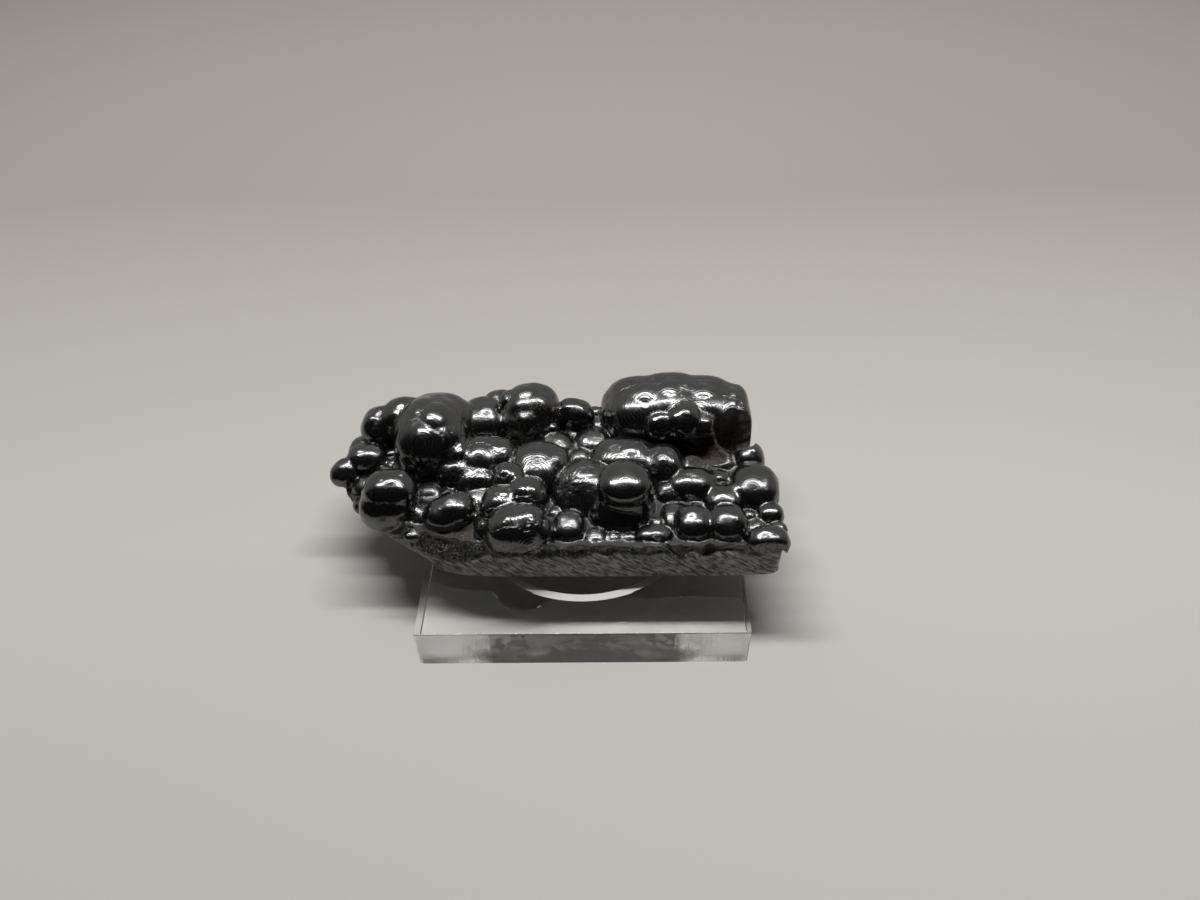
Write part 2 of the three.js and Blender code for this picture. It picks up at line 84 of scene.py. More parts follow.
# lumps of the crust by region: centre x y z, half sizes across x y z
crustRegions = {
    "crown": {
        "lobes": 9, "proud": 0.07, "ring": 0.005, "scales": 0.4, "gloss": 0.19,
        "lumps": [
            (-33.1, 12.9, 17.8, 8.2, 10.8, 8.8), (-44.7, 16.9, 17.6, 4.7, 5.4, 5.3),
            (-39.6, 17.9, 20.2, 5.0, 5.4, 4.2), (-33.8, 12.7, 21.0, 4.8, 5.0, 4.3),
            (-29.0, 10.8, 20.6, 3.8, 4.4, 4.0), (-32.5, 17.4, 16.6, 8.4, 9.0, 8.2),
            (-28.4, 18.4, 16.6, 5.0, 6.0, 6.4), (-26.6, 12.4, 18.4, 2.6, 2.6, 2.1),
            (-27.8, 7.4, 18.6, 4.4, 4.4, 3.8), (-25.3, 8.3, 17.6, 1.8, 1.8, 1.4),
            (-26.8, 4.4, 16.6, 5.0, 5.0, 4.0), (-46.2, 15.0, 19.0, 1.7, 1.7, 1.4),
        ]},
    "leftEnd": {
        "lobeSize": 0.68, "proud": 0.05, "ring": 0.005, "scales": 0.6, "gloss": 0.24,
        "lumps": [
            (-51.2, 5.3, 15.6, 3.0, 3.0, 2.4), (-50.7, 5.9, 16.0, 2.8, 2.8, 2.6),
            (-46.8, 8.7, 16.8, 4.4, 3.6, 3.0), (-37.5, 5.0, 16.6, 3.6, 3.2, 2.6),
            (-48.4, 12.6, 14.6, 3.6, 4.2, 3.6),
        ]},
    "tieredLump": {
        "lobes": 7, "proud": 0.05, "scales": 0.4, "blend": 0.4, "gloss": 0.18,
        "lumps": [
            (-39.1, -3.8, 19.0, 5.7, 5.2, 4.6), (-37.1, -2.2, 21.8, 1.8, 1.8, 1.4),
            (-39.7, -5.4, 16.8, 6.0, 5.2, 4.5),
        ]},
    "frontLeft": {
        "proud": 0.05, "ring": 0.004, "scales": 0.6, "blend": 0.4, "gloss": 0.2,
        "lumps": [
            (-25.8, -7.3, 17.4, 4.3, 4.2, 3.5), (-27.8, -8.3, 17.0, 4.1, 4.0, 3.2),
            (-24.2, -9.3, 16.6, 1.5, 1.5, 1.1),
        ]},
    "bandedLumps": {
        "lobes": 9, "lobeSize": 0.68, "proud": 0.045, "ring": 0.008, "blend": 0.4, "gloss": 0.22,
        "lumps": [
            (-22.1, 7.4, 17.8, 5.0, 5.7, 3.8), (-18.3, 8.0, 17.4, 4.1, 5.0, 3.7),
            (-15.7, 5.1, 17.8, 2.4, 2.0, 1.6), (-23.6, 4.5, 17.2, 3.5, 3.8, 3.2),
            (-22.5, 2.2, 16.4, 4.8, 4.4, 3.5), (-17.8, 3.9, 17.0, 1.9, 1.9, 1.4),
        ]},
    "ridge": {
        "proud": 0.03, "ring": 0.008, "scales": 0.15, "blend": 0.6, "gloss": 0.22,
        "lumps": [
            (-9.8, 4.6, 16.4, 6.3, 7.8, 5.4), (-6.0, 5.0, 16.6, 3.9, 5.2, 4.8),
        ]},
    "tower": {
        "lobes": 10, "lobeSize": 0.68, "ring": 0.008, "scales": 1, "blend": 0.35, "gloss": 0.19,
        "lumps": [
            (-13.0, -13.4, 17.6, 6.2, 5.4, 5.1), (-14.3, -13.6, 17.2, 4.6, 4.4, 4.3),
            (-11.0, -12.9, 18.0, 4.4, 4.8, 4.6), (-8.1, -13.8, 17.0, 2.8, 3.4, 3.7),
            (-16.1, -6.8, 17.4, 4.8, 4.8, 4.5), (-11.6, -5.0, 17.4, 4.8, 5.0, 5.0),
            (-15.4, -0.6, 18.0, 4.0, 4.4, 4.6), (-19.6, -12.2, 14.6, 2.0, 3.2, 4.6),
        ]},
    "backMiddle": {
        "proud": 0.03, "scales": 0.3, "blend": 0.6, "gloss": 0.24,
        "lumps": [
            (-22.7, 20.3, 15.8, 5.8, 7.0, 5.8), (-12.0, 22.1, 18.2, 6.6, 6.8, 5.8),
            (-13.2, 19.0, 17.6, 5.6, 5.6, 4.5),
        ]},
    "facetedLobes": {
        "lobes": 7, "lobeSize": 0.62, "proud": 0.07, "blend": 0.2, "gloss": 0.24,
        "lumps": [
            (-10.8, 20.1, 20.8, 3.0, 3.0, 2.4), (-12.5, 17.6, 19.8, 3.2, 3.2, 2.6),
            (-14.3, 23.5, 21.2, 2.6, 2.6, 2.1), (-16.2, 22.9, 20.4, 3.0, 3.0, 2.4),
            (-19.4, 24.9, 17.6, 4.0, 4.0, 3.2), (-8.2, 20.6, 18.2, 3.4, 3.4, 2.7),
            (-7.7, 17.2, 17.2, 2.2, 2.2, 1.8), (-9.4, 16.1, 17.4, 2.0, 2.0, 1.6),
            (-14.4, 16.3, 17.4, 3.2, 3.2, 2.6),
        ]},
    "pea": {
        "lobes": 7, "proud": 0.03, "scales": 0.2, "blend": 0.4, "gloss": 0.2,
        "lumps": [
            (-2.1, 21.2, 17.6, 3.9, 3.9, 3.4), (-3.2, 21.7, 19.0, 2.9, 2.9, 2.3),
            (-0.6, 20.4, 17.8, 2.8, 2.8, 2.2),
        ]},
    "greatDome": {
        "lobeSize": 0.8, "proud": 0.03, "ring": 0.008, "scales": 0.3, "blend": 1.6, "square": 3.4,
        "gloss": 0.23,
        "lumps": [
            (14.0, 21.2, 15.4, 9.5, 9.2, 9.8), (24.4, 21.2, 15.2, 9.8, 9.2, 10.0),
            (9.9, 22.8, 15.4, 5.6, 7.8, 7.4), (32.2, 18.9, 15.4, 4.4, 8.4, 9.4),
            (7.3, 22.6, 16.2, 4.0, 5.4, 4.8), (19.0, 21.6, 16.0, 6.0, 8.8, 9.8),
        ]},
    "brokenLump": {
        "lobes": 9, "lobeSize": 0.55, "proud": 0.12, "ring": 0, "blend": 0.2,
        "lumps": [
            (27.3, 12.9, 16.8, 3.6, 3.4, 3.0), (28.8, 12.4, 15.6, 3.2, 3.2, 2.6),
        ]},
    "frontLobes": {
        "lobes": 7, "ring": 0.004, "scales": 0.4, "blend": 0.3, "gloss": 0.19,
        "lumps": [
            (21.2, 16.8, 17.6, 7.6, 5.0, 6.6), (16.6, 14.4, 20.0, 4.0, 4.2, 4.1),
            (21.2, 14.8, 20.9, 4.5, 5.0, 4.4), (25.1, 14.0, 19.7, 3.8, 4.2, 4.1),
        ]},
    "boss": {
        "lobes": 4, "lobeSize": 0.8, "proud": 0.0, "scales": 0, "blend": 0.6, "square": 2.3, "gloss": 0.2,
        "lumps": [
            (8.4, -5.0, 15.6, 6.3, 6.4, 10.0), (8.4, -5.2, 22.7, 5.5, 5.6, 3.0),
            (7.4, -5.7, 14.0, 7.5, 7.9, 7.6),
        ]},
    "besideBoss": {
        "lobeSize": 0.68, "ring": 0.008, "gloss": 0.22,
        "lumps": [
            (8.3, 6.8, 17.6, 7.2, 5.6, 3.8), (13.0, 5.0, 17.2, 3.6, 4.6, 3.5),
            (16.8, 5.0, 17.6, 4.2, 5.2, 3.8),
        ]},
    "rightEnd": {
        "lobes": 7, "blend": 0.6, "gloss": 0.22,
        "lumps": [
            (22.1, 0.0, 16.2, 5.6, 4.6, 3.7), (23.8, -2.2, 16.0, 3.0, 2.7, 2.2),
            (21.9, -11.2, 16.4, 4.0, 4.6, 3.7), (28.6, -11.5, 16.6, 4.3, 4.6, 4.0),
            (36.0, -16.2, 17.0, 4.3, 3.5, 3.2), (28.6, -4.2, 16.0, 4.3, 4.2, 2.9),
            (31.4, -2.5, 17.6, 1.6, 1.6, 1.2), (35.1, -0.7, 15.8, 5.4, 6.3, 4.3),
            (37.5, -7.9, 16.0, 2.8, 2.7, 2.1), (27.4, 1.7, 16.2, 3.2, 2.7, 2.1),
            (35.0, 8.0, 15.2, 3.6, 4.4, 4.4),
        ]},
    "lowLumps": {
        "ring": 0.006, "blend": 0.4, "gloss": 0.25,
        "lumps": [
            (-6.5, 13.0, 15.4, 4.4, 4.2, 2.8), (1.8, 14.5, 15.2, 4.4, 4.4, 2.6),
            (-9.5, 8.0, 15.6, 3.8, 3.8, 2.8), (5.0, 8.6, 15.4, 4.2, 3.4, 2.8),
            (-21.5, -2.6, 15.2, 4.2, 4.4, 2.8), (-19.6, -9.0, 15.2, 2.6, 3.6, 2.6),
            (-33.0, -6.6, 15.0, 3.8, 3.8, 2.6), (18.6, -8.6, 15.2, 3.4, 4.2, 2.6),
            (17.6, -1.6, 15.4, 3.4, 3.6, 3.0), (-20.6, 12.0, 15.4, 4.2, 4.0, 2.8),
            (-37.0, 4.2, 15.4, 4.4, 3.6, 2.8),
        ]},
    "frontEdge": {
        "lobes": 7, "proud": 0.05,
        "lumps": [
            (-2.7, -11.3, 16.0, 3.5, 4.2, 3.2), (14.0, -13.9, 16.4, 3.7, 2.7, 2.1),
        ]},
}

# the boss is a bullet on a leaning stack of terraces
terraces = {
    "low": (0.8, -1.0, 13.6), "high": (5.6, -2.8, 14.8), "lowRadius": 8.4, "highRadius": 6.8,
    "count": 7, "tread": 0.28,
}

# small lumps that fill the gaps between the others, but for the bare places: x y z, reach
fillers = {
    "count": 260, "large": 3.4, "overlap": 0.55, "narrow": 0.7, "clear": 1.6, "grid": 0.6, "seed": 17,
    "frontY": -14.2,
    "bare": ((-28.0, -12.5, 17.0, 5.0), (-36.0, -9.0, 16.0, 3.0), (-20.0, -15.5, 17.0, 2.6)),
}

# broken hollows: centre x y z, half sizes across x y z
hollows = {
    "domeHollow": (32.6, 11.8, 21.2, 5.2, 3.8, 6.2),
    "rustyHollow": (26.0, 7.2, 19.0, 5.0, 4.4, 2.4),
    "pit": (24.4, -18.4, 17.3, 1.5, 1.6, 1.5),
}

# the fan of fibres where the front edge has split back from one point
fan = {"apex": (19.5, -18.6, 14.8), "left": -58.0, "right": 26.0, "lean": 0.55, "reach": 6.4, "pleats": 15}
goldenAngle = math.pi * (3.0 - math.sqrt(5.0))


def latticeNoise(points, size, seed):
    # smooth noise from 0 to 1 with features of the given size
    side = 32
    table = np.random.default_rng(seed).random((side, side, side))
    scaled = points / size + 100.0
    base = np.floor(scaled).astype(int)
    part = scaled - base
    part = part * part * (3.0 - 2.0 * part)
    total = np.zeros(len(points))
    for i, j, k in [(i, j, k) for i in (0, 1) for j in (0, 1) for k in (0, 1)]:
        weight = (np.where(i, part[:, 0], 1 - part[:, 0]) * np.where(j, part[:, 1], 1 - part[:, 1])
                  * np.where(k, part[:, 2], 1 - part[:, 2]))
        total += weight * table[(base[:, 0] + i) % side, (base[:, 1] + j) % side, (base[:, 2] + k) % side]
    return total


def smoothStep(low_, high_, values):
    share = np.clip((values - low_) / (high_ - low_), 0.0, 1.0)
    return share * share * (3.0 - 2.0 * share)


def makeLobes(lump, count, region, random):
    # wide shallow lobes crowd the upper side, set out by the golden angle and jittered
    sizes = np.array(lump[3:])
    size, proud, square = region["lobeSize"], region["proud"], region["square"]
    turn = random.uniform(0.0, 2.0 * math.pi)
    lobes = []
    for i in range(count):
        up = 1.0 - 1.12 * (i + 0.5) / count
        around = goldenAngle * i + turn + random.uniform(-0.35, 0.35)
        out = math.sqrt(max(1.0 - up * up, 0.0))
        share = size * random.uniform(0.85, 1.1)
        reach = 1.0 + proud * random.uniform(0.0, 1.0) - share
        way = np.array([out * math.cos(around), out * math.sin(around), up])
        way = way / (np.abs(way) ** square).sum() ** (1.0 / square)
        lobes.append((way * reach * sizes, sizes * share, way * (reach + share) * sizes))
    return lobes


def makeLumps(regions):
    random = np.random.default_rng(41)
    lumps = []
    for number, region in enumerate(regions.values()):
        region = {**regionDefaults, **region}
        for lump in region["lumps"]:
            count = region["lobes"] if min(lump[3:]) > 1.6 else 4
            lumps.append({
                "centre": np.array(lump[:3]), "sizes": np.array(lump[3:]),
                "lobes": makeLobes(lump, count, region, random),
                "ring": region["ring"], "square": region["square"], "scales": region["scales"],
                "blend": region["blend"], "gloss": region["gloss"], "region": number,
                "pole": np.array([0.0, -0.45 * lump[4], 0.8 * lump[5]]), "phase": random.uniform(0.0, 1.0),
            })
    return lumps


def gapLumps(lumps):
    # smaller lumps grown in the gaps: the widest gap on the floor gets the next one, until none is wide
    random = np.random.default_rng(fillers["seed"])
    steps = [np.arange(-52.0, 40.0, fillers["grid"]), np.arange(-16.8, 29.0, fillers["grid"])]
    across, along = np.meshgrid(*steps, indexing="ij")
    spots = np.stack([across.ravel(), along.ravel(), np.zeros(across.size)], 1)
    plan = outlineDistance(spots)
    spots[:, 2] = floorHeight(spots, plan) + 0.3
    held = (plan < -fillers["clear"]) & (spots[:, 1] > fillers["frontY"])
    spots, plan = spots[held], plan[held]
    gap = np.minimum(crustDistance(spots, lumps)[0], -plan - 0.4)
    for x, y, z, reach in fillers["bare"]:
        gap = np.minimum(gap, np.hypot(spots[:, 0] - x, spots[:, 1] - y) - reach)
    grown = []
    while gap.max() > fillers["narrow"] and len(grown) < fillers["count"]:
        widest = gap.argmax()
        size = min(gap[widest] * random.uniform(1.0, 1.15) + fillers["overlap"], fillers["large"])
        x, y, z = spots[widest]
        show = size * random.uniform(0.18, 0.40)
        tall = size * 0.65
        grown.append((x, y, z + show - tall, size, size * random.uniform(0.85, 1.1), tall))
        gap = np.minimum(gap, np.hypot(spots[:, 0] - x, spots[:, 1] - y) - size * 0.92)
    print("gaps:", len(grown), "small lumps")
    return {"lobes": 6, "lobeSize": 0.72, "ring": 0.006, "scales": 1.0, "blend": 0.35, "square": 2.2,
            "lumps": grown}


def ballDistance(points, centre, sizes):
    scaled = (points - centre) / sizes
    near = np.sqrt((scaled * scaled).sum(1))
    steep = scaled / sizes
    slope = np.sqrt((steep * steep).sum(1))
    return near * (near - 1.0) / np.maximum(slope, 1e-6)


def squareBallDistance(points, sizes, power):
    # a ball with fuller shoulders than an ellipsoid
    scaled = np.maximum(np.abs(points / sizes), 1e-6)
    near = (scaled ** power).sum(1) ** (1.0 / power)
    steep = (scaled / near[:, None]) ** (power - 1.0) / sizes
    return (near - 1.0) / np.sqrt((steep * steep).sum(1))


def softUnion(first, second, reach):
    step = np.maximum(reach - np.abs(first - second), 0.0) / reach
    return np.minimum(first, second) - step * step * reach * 0.25


def softCut(first, second, reach):
    return -softUnion(-first, -second, reach)


def lumpDistance(points, lump):
    local = points - lump["centre"]
    distance = squareBallDistance(local, lump["sizes"] * 0.955, lump["square"])
    close = np.nonzero(np.abs(distance) < 1.4)[0]
    if len(close):
        near = local[close]
        bulged = distance[close]
        for centre, sizes, _tip in lump["lobes"]:
            bulged = softUnion(bulged, ballDistance(near, centre, sizes), plate["lobeBlend"])
        distance[close] = bulged
    return distance


def smoothLoop(points, steps):
    # closed Catmull-Rom curve through the points
    points = np.array(points)
    before, after, beyond = np.roll(points, 1, 0), np.roll(points, -1, 0), np.roll(points, -2, 0)
    loop = []
    for t in np.arange(steps) / steps:
        loop.append(0.5 * (2.0 * points + (after - before) * t
                           + (2.0 * before - 5.0 * points + 4.0 * after - beyond) * t ** 2
                           + (3.0 * points - before - 3.0 * after + beyond) * t ** 3))
    return np.stack(loop, 1).reshape(-1, 2)


plateLoop = smoothLoop(plateOutline, 6)


def outlineDistance(points):
    # signed distance in plan to the plate's outline, negative inside
    distance = np.full(len(points), 1e9)
    inside = np.zeros(len(points), bool)
    x, y = points[:, 0], points[:, 1]
    for start, end in zip(plateLoop, np.roll(plateLoop, -1, 0)):
        edge = end - start
        share = np.clip(((x - start[0]) * edge[0] + (y - start[1]) * edge[1]) / (edge @ edge), 0.0, 1.0)
        gap = np.hypot(x - start[0] - share * edge[0], y - start[1] - share * edge[1])
        distance = np.minimum(distance, gap)
        crosses = (start[1] > y) != (end[1] > y)
        rise = edge[1] if abs(edge[1]) > 1e-9 else 1e-9
        inside ^= crosses & (x < edge[0] * (y - start[1]) / rise + start[0])
    return np.where(inside, -distance, distance)


def terraceDistance(points):
    # rounded beads round a leaning axis, wide at the foot
    low, high = np.array(terraces["low"]), np.array(terraces["high"])
    axis = high - low
    share = ((points - low) @ axis) / (axis @ axis)
    held = np.clip(share, 0.0, 1.0)
    away = np.sqrt(((points - low - held[:, None] * axis) ** 2).sum(1))
    uneven = latticeNoise(points, 3.4, 25) + 0.5 * latticeNoise(points, 1.3, 26)
    part = (np.clip(share, -0.7, 1.6) * terraces["count"] + 0.9 * uneven) % 1.0
    radius = terraces["lowRadius"] + (terraces["highRadius"] - terraces["lowRadius"]) * held
    return away - radius - terraces["tread"] * (1.0 - part) ** 1.5 - 0.35 * (uneven - 0.75)


def crustDistance(points, lumps):
    # the whole crust, the nearest region, the runner-up for the creases, and which lump it is
    merged = np.full(len(points), 9.0)
    first = np.full(len(points), 9.0)
    second = np.full(len(points), 9.0)
    nearest = np.full(len(points), 9.0)
    owner = np.full(len(points), -1)
    last = max(lump["region"] for lump in lumps)
    for number in range(last + 1):
        here = np.full(len(points), 9.0)
        if number == bossRegion:
            close = np.nonzero((np.abs(points[:, 0] - 5.0) < 13.0) & (np.abs(points[:, 1] + 5.0) < 13.0))[0]
            here[close] = np.minimum(9.0, terraceDistance(points[close]))
        for index, lump in enumerate(lumps):
            if lump["region"] != number:
                continue
            reach = lump["sizes"] * 1.12 + plate["margin"]
            low, high = lump["centre"] - reach, lump["centre"] + reach
            near = np.nonzero(((points > low) & (points < high)).all(1))[0]
            if not len(near):
                continue
            distance = lumpDistance(points[near], lump)
            closer = distance < nearest[near]
            owner[near] = np.where(closer, index, owner[near])
            nearest[near] = np.minimum(nearest[near], distance)
            here[near] = softUnion(here[near], distance, lump["blend"])
        second = np.minimum(np.maximum(first, here), second)
        first = np.minimum(first, here)
        merged = softUnion(merged, here, plate["regionBlend"])
    return merged, first, second, owner


def floorHeight(points, plan):
    # the floor of the crust: it drops to a thin edge at the left end and lifts to a lip at the front left
    x, y = points[:, 0], points[:, 1]
    left = smoothStep(-32.0, -42.0, x) * smoothStep(16.0, 9.0, y)
    drop = plate["shoulderDrop"] * left * np.maximum(0.0, 8.0 + plan)
    front = smoothStep(-14.0, -22.0, x) * smoothStep(-5.0, -9.0, y)
    lip = 0.9 * front * np.exp(-((plan + plate["lipInset"] + 0.4) / 0.7) ** 2)
    ledge = plate["ledge"] * smoothStep(-14.6, -17.2, y) * (1.0 - front)
    flatPoints = points * np.array([1.0, 1.0, 0.0])
    waves = 0.5 * (latticeNoise(flatPoints, 3.2, 21) - 0.5)
    jagged = 1.3 * (latticeNoise(flatPoints, 1.9, 27) - 0.5)
    jagged = jagged + 0.6 * (latticeNoise(flatPoints, 0.8, 28) - 0.5)
    rim = np.clip((ledge + lip) / plate["ledge"], 0.0, 1.0)
    return plate["floor"] - drop + lip + ledge + waves + jagged * rim


def plateDistances(points, plan):
    # plan is the outline distance of the same points
    x, y, z = points.T
    low = np.interp(z, [plate["underside"], plate["belly"], plate["crustEdge"]],
                    [plate["undersideInset"], plate["undersideInset"] * 0.25, 0.0])
    atFront = smoothStep(-13.0, -17.5, y)
    atLeft = smoothStep(-14.0, -22.0, x) * smoothStep(-3.0, -8.0, y)
    high = plate["floorInset"] * smoothStep(plate["crustEdge"] - 1.2, plate["floor"] + 0.9, z)
    slope = plate["lipInset"] * smoothStep(13.4, 17.6, z)
    wander = 0.5 * (latticeNoise(points, 2.4, 23) - 0.5)
    wander = wander * smoothStep(12.0, 15.0, z)
    side = plan + low * (1.0 - atFront) + high * (1.0 - atLeft) + slope * atLeft + wander
    tilt = math.radians(plate["riseAngle"])
    top = z - floorHeight(points, plan)
    rise = (plate["underside"] - z) * math.cos(tilt) + (plate["riseStartX"] - x) * math.sin(tilt)
    under = np.maximum(plate["underside"] - z, rise)
    front = plate["frontY"] - y
    return side, top, under, front


def fanDistance(points):
    # negative in the wedge that has split off: a leaning face pleated by fibres that meet at the apex
    x, y, z = (points - np.array(fan["apex"])).T
    angle = np.degrees(np.arctan2(x, np.maximum(z, 1e-6)))
    away = np.hypot(x, z)
    pleat = np.abs(np.mod(angle / (fan["right"] - fan["left"]) * fan["pleats"], 1.0) - 0.5)
    face = y - fan["lean"] * away + 0.10 * away * pleat
    sides = np.maximum(fan["left"] - angle, angle - fan["right"]) * math.pi / 180.0 * away
    return np.maximum(np.maximum(face, sides), np.maximum(away - fan["reach"], -z))


def hollowDistance(points):
    # positive inside a hollow, so that it can be cut straight off the stone
    cut = np.full(len(points), -9.0)
    for hollow in hollows.values():
        centre, sizes = np.array(hollow[:3]), np.array(hollow[3:])
        close = np.nonzero((np.abs(points - centre) < sizes + 1.5).all(1))[0]
        near = points[close]
        rough = 0.7 * (latticeNoise(near, 1.1, 31) - 0.5) + 1.1 * (latticeNoise(near, 2.6, 32) - 0.5)
        cut[close] = np.maximum(cut[close], rough - ballDistance(near, centre, sizes))
    return cut


def stoneDistance(points, plan, lumps):
    crust, first, second, owner = crustDistance(points, lumps)
    side, top, bottom, front = plateDistances(points, plan)
    crust = softCut(crust, -top - plate["crustFoot"], 0.2)
    body = softCut(side, top, 0.6)
    body = softUnion(crust, body, plate["plateBlend"])
    hollow = hollowDistance(points)
    split = -fanDistance(points)
    whole = softCut(softCut(body, bottom, 0.3), front, 0.2)
    whole = softCut(softCut(whole, hollow, 0.25), split, 0.1)
    return whole, {"crust": crust, "first": first, "second": second, "owner": owner, "side": side,
                   "top": top, "bottom": bottom, "front": front, "hollow": hollow, "split": split}


def netMesh(field, origin, cell):
    # surface nets: one vertex in each cell that the surface crosses, one quad around each crossed edge
    inside = field < 0.0
    corners = [(i, j, k) for i in (0, 1) for j in (0, 1) for k in (0, 1)]
    count = sum(inside[i:inside.shape[0] - 1 + i, j:inside.shape[1] - 1 + j, k:inside.shape[2] - 1 + k]
                .astype(np.uint8) for i, j, k in corners)
    active = (count > 0) & (count < 8)
    cells = np.argwhere(active)
    index = np.full(active.shape, -1, np.int64)
    index[active] = np.arange(len(cells))
    values = [field[cells[:, 0] + i, cells[:, 1] + j, cells[:, 2] + k] for i, j, k in corners]
    total = np.zeros((len(cells), 3))
    hits = np.zeros(len(cells))
    for p, start in enumerate(corners):
        for q, end in enumerate(corners):
            if q <= p or sum(abs(s - e) for s, e in zip(start, end)) != 1:
                continue
            crossed = (values[p] < 0.0) != (values[q] < 0.0)
            share = np.where(crossed, values[p] / np.where(crossed, values[p] - values[q], 1.0), 0.0)
            step = np.array(start) + share[:, None] * (np.array(end) - np.array(start))
            total += np.where(crossed[:, None], step, 0.0)
            hits += crossed
    points = origin + (cells + total / hits[:, None]) * cell
    quads = []
    for axis in range(3):
        u, v = (axis + 1) % 3, (axis + 2) % 3
        low = [slice(1, -1)] * 3
        high = [slice(1, -1)] * 3
        low[axis], high[axis] = slice(0, -1), slice(1, None)
        below, above = inside[tuple(low)], inside[tuple(high)]
        at = np.argwhere(below != above)
        leaving = below[tuple(at.T)]
        at[:, u] += 1
        at[:, v] += 1
        ring = []
        for du, dv in ((-1, -1), (0, -1), (0, 0), (-1, 0)):
            cellAt = at.copy()
            cellAt[:, u] += du
            cellAt[:, v] += dv
            ring.append(index[tuple(cellAt.T)])
        ring = np.stack(ring, 1)
        quads.append(np.where(leaving[:, None], ring, ring[:, ::-1]))
    return points, np.concatenate(quads)


def keepLargest(points, quads):
    # sealed pockets and crumbs go: only the largest shell stays
    label = np.arange(len(points))
    while True:
        lowest = label[quads].min(1)
        new = label.copy()
        for corner in range(4):
            np.minimum.at(new, quads[:, corner], lowest)
        new = np.minimum(new, new[new])
        if (new == label).all():
            break
        label = new
    main = np.bincount(label).argmax()
    kept = label == main
    renumber = np.cumsum(kept) - 1
    return points[kept], renumber[quads[kept[quads[:, 0]]]]


bossRegion = list(crustRegions).index("boss")
crustRegions["gaps"] = gapLumps(makeLumps(crustRegions))
lumps = makeLumps(crustRegions)
low = np.array([-55.5, -20.0, 8.6])
high = np.array([42.0, 31.5, 33.5])
axes = [np.arange(low[k], high[k], plate["cell"]) for k in range(3)]
gridX, gridY, gridZ = np.meshgrid(*axes, indexing="ij")
shape = gridX.shape
planGrid = outlineDistance(np.stack([gridX[:, :, 0].ravel(), gridY[:, :, 0].ravel()], 1)).reshape(shape[:2])
gridPoints = np.stack([gridX.ravel(), gridY.ravel(), gridZ.ravel()], 1)
planPoints = np.repeat(planGrid[:, :, None], shape[2], 2).ravel()
field, _ = stoneDistance(gridPoints, planPoints, lumps)
points, quads = keepLargest(*netMesh(field.reshape(shape), low, plate["cell"]))
print("stone:", len(points), "points", 2 * len(quads), "triangles")


def planAt(points):
    # the outline distance read off the plan grid, bilinear
    u = np.clip((points[:, 0] - low[0]) / plate["cell"], 0, shape[0] - 1.001)
    v = np.clip((points[:, 1] - low[1]) / plate["cell"], 0, shape[1] - 1.001)
    i, j = u.astype(int), v.astype(int)
    s, t = u - i, v - j
    return ((planGrid[i, j] * (1 - s) + planGrid[i + 1, j] * s) * (1 - t)
            + (planGrid[i, j + 1] * (1 - s) + planGrid[i + 1, j + 1] * s) * t)


def settle(points):
    # two Newton steps put every point on the true surface
    step = 0.02
    for _ in range(2):
        base, _parts = stoneDistance(points, planAt(points), lumps)
        slope = np.stack([(stoneDistance(points + step * np.eye(3)[k], planAt(points + step * np.eye(3)[k]),
                                         lumps)[0] - base) / step for k in range(3)], 1)
        length = (slope * slope).sum(1)
        move = -(base / np.maximum(length, 0.2))[:, None] * slope
        size = np.sqrt((move * move).sum(1))[:, None]
        points = points + move * np.minimum(1.0, 0.25 / np.maximum(size, 1e-9))
    normals = slope / np.maximum(np.sqrt(length), 1e-9)[:, None]
    return points, normals


points, normals = settle(points)
_, parts = stoneDistance(points, planAt(points), lumps)
print("stone: points settled")

# masks: fresh breaks, the dark fibrous section under the crust, the dusty floor, creases and rust
frontBreak = smoothStep(-0.30, -0.05, parts["front"])
bottomBreak = smoothStep(-0.35, -0.05, parts["bottom"])
sideBreak = smoothStep(-0.45, -0.1, parts["side"]) * smoothStep(0.05, 0.4, parts["crust"])
breakMask = np.maximum(np.maximum(frontBreak, bottomBreak), sideBreak)
hollowMask = smoothStep(-0.35, -0.05, parts["hollow"])
splitMask = smoothStep(-0.25, -0.03, parts["split"])
# height of the section's lower edge along the front: x, z
sectionFoot = [
    (-46.0, 11.0), (-40.0, 13.4), (-24.0, 13.8), (-17.0, 15.9), (12.0, 16.2), (30.0, 16.4), (36.0, 17.2),
]
sectionFrom = np.interp(points[:, 0], *zip(*sectionFoot))
sectionFrom = sectionFrom + 1.0 * (latticeNoise(points, 2.6, 5) - 0.5)
sectionMask = np.maximum(breakMask * smoothStep(-0.25, 0.25, points[:, 2] - sectionFrom), splitMask)
breakMask = breakMask * (1.0 - sectionMask)
solid = (1.0 - breakMask) * (1.0 - sectionMask) * (1.0 - hollowMask)
floorMask = smoothStep(0.35, 0.05, np.abs(parts["top"])) * smoothStep(0.0, 0.45, parts["crust"]) * solid
crease = np.exp(-(np.maximum(parts["second"] - parts["first"], 0.0) / 0.45) ** 2)
crease = np.maximum(crease, floorMask * np.exp(-(parts["crust"] / 0.7) ** 2)) * (1.0 - breakMask)
rust = np.zeros(len(points))
# rusty places: x y, reach, strength
rustyPlaces = (
    (26.0, 7.0, 6.0, 1.0), (29.5, 12.0, 4.0, 0.7), (-30.5, -11.4, 3.2, 0.8), (-24.2, -13.4, 2.6, 0.6),
    (-14.6, 13.0, 2.2, 0.6), (2.0, -16.8, 3.6, 0.5), (24.4, -17.6, 2.0, 0.8),
)
for x, y, reach, strength in rustyPlaces:
    away = (points[:, 0] - x) ** 2 + (points[:, 1] - y) ** 2
    rust = np.maximum(rust, strength * np.exp(-away / reach ** 2))
rust = rust * np.maximum(np.maximum(floorMask, hollowMask), 0.6 * crease)


